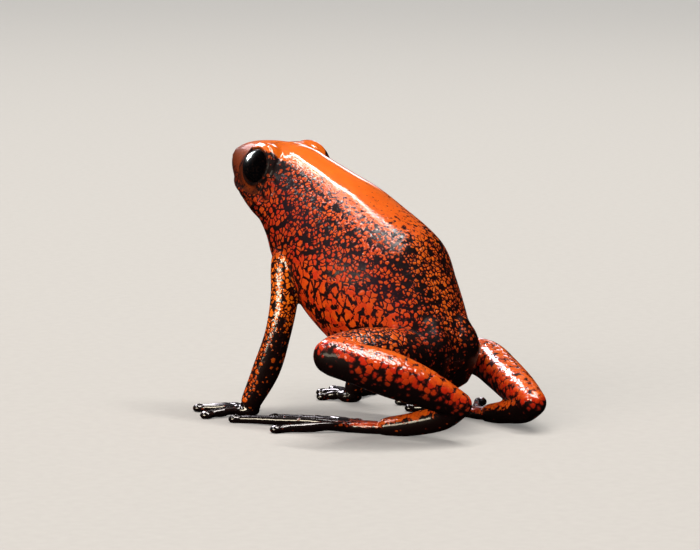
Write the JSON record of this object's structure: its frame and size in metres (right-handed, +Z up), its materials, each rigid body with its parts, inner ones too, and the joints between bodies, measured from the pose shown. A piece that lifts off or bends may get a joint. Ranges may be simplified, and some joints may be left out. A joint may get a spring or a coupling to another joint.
{
  "type": "poison frog figure",
  "caption": "Small poison frog sitting up on straight arms with its hind legs folded at its sides, a still life-size figure of a spotted orange and black frog.",
  "frame": {"origin": "on the floor, under the middle of the frog's bounding box", "axes": "+Z is up; the frog faces -Y and its left side is towards +X"},
  "size_m": [0.0292, 0.0348, 0.0258],
  "materials": {
    "head_skin": "wet, glossy",
    "body_skin": "wet, glossy, finely granular",
    "limb_skin": "wet, glossy",
    "digit_skin": "wet, glossy",
    "eye": "clear, glossy"
  },
  "bodies": {
    "root": {"eye_left": "eye", "eye_right": "eye", "foot_left": "digit_skin", "foot_right": "digit_skin", "forearm_left": "limb_skin", "forearm_right": "limb_skin", "hand_left": "digit_skin", "hand_right": "digit_skin", "head": "head_skin", "shank_left": "limb_skin", "shank_right": "limb_skin", "thigh_left": "limb_skin", "thigh_right": "limb_skin", "torso": "body_skin", "upper_arm_left": "limb_skin", "upper_arm_right": "limb_skin"}
  },
  "joints": []
}
